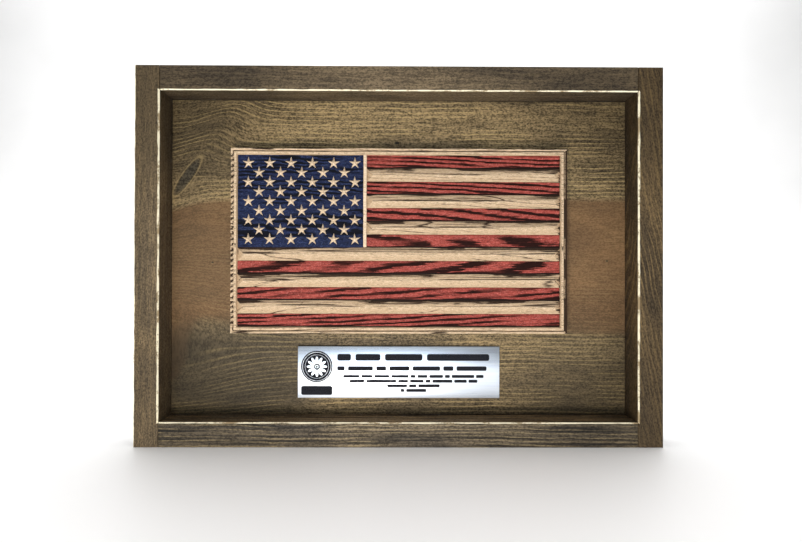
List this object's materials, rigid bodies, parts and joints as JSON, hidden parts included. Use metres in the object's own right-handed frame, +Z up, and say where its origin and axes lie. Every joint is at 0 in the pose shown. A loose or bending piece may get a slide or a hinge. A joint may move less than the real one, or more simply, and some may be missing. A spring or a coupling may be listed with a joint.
{
  "type": "framed carved flag plaque",
  "caption": "Deep pine shadow-box plaque with a carved and painted wooden flag, a brushed metal nameplate and swinging ring hangers on the back.",
  "frame": {"origin": "on the underside, at the middle of the bottom rail's width and depth", "axes": "+Z up, +X to the viewer's right across the front, -Y out of the open front towards the viewer"},
  "size_m": [0.404, 0.0434, 0.291],
  "materials": {
    "frame_pine": "dark stained pine boards with sanded bare edges, satin",
    "panel_pine": "stained wide pine board with knots, satin",
    "flag_wood": "carved softwood, thin red and blue paint over charred grain, bare ridges, satin lacquer",
    "brushed_aluminium": "brushed and lacquered, dark printed marks",
    "foam_tape": "matt white foam",
    "nickel_plate": "nickel plated, smooth",
    "bright_steel": "bare bright steel"
  },
  "bodies": {
    "case": {"stile_left": "frame_pine", "stile_right": "frame_pine", "rail_bottom": "frame_pine", "rail_top": "frame_pine", "back_panel": "panel_pine", "carved_flag": "flag_wood", "nameplate": "brushed_aluminium", "nameplate_tape": "foam_tape", "corner_nail_bottom_left_front": "bright_steel", "corner_nail_bottom_left_back": "bright_steel", "corner_nail_bottom_right_front": "bright_steel", "corner_nail_bottom_right_back": "bright_steel", "corner_nail_top_left_front": "bright_steel", "corner_nail_top_left_back": "bright_steel", "corner_nail_top_right_front": "bright_steel", "corner_nail_top_right_back": "bright_steel", "panel_brad_bottom_1": "bright_steel", "panel_brad_bottom_2": "bright_steel", "panel_brad_bottom_3": "bright_steel", "panel_brad_top_1": "bright_steel", "panel_brad_top_2": "bright_steel", "panel_brad_top_3": "bright_steel", "panel_brad_left_1": "bright_steel", "panel_brad_left_2": "bright_steel", "panel_brad_right_1": "bright_steel", "panel_brad_right_2": "bright_steel", "flag_screw_bottom_left": "bright_steel", "flag_screw_bottom_right": "bright_steel", "flag_screw_top_left": "bright_steel", "flag_screw_top_right": "bright_steel", "hanger_screw_left": "nickel_plate", "hanger_screw_right": "nickel_plate", "hanger_strap_left": "nickel_plate", "hanger_strap_right": "nickel_plate"},
    "ring_left": {"hanger_ring_left": "nickel_plate"},
    "ring_right": {"hanger_ring_right": "nickel_plate"}
  },
  "joints": [
    {"name": "ring_left_swing", "type": "hinge", "parent": "case", "child": "ring_left", "pos_m": [-0.1925, 0.02185, 0.221], "axis": [1, 0, 0], "range_deg": [0, 180]},
    {"name": "ring_right_swing", "type": "hinge", "parent": "case", "child": "ring_right", "pos_m": [0.1925, 0.02185, 0.221], "axis": [1, 0, 0], "range_deg": [0, 180]}
  ]
}
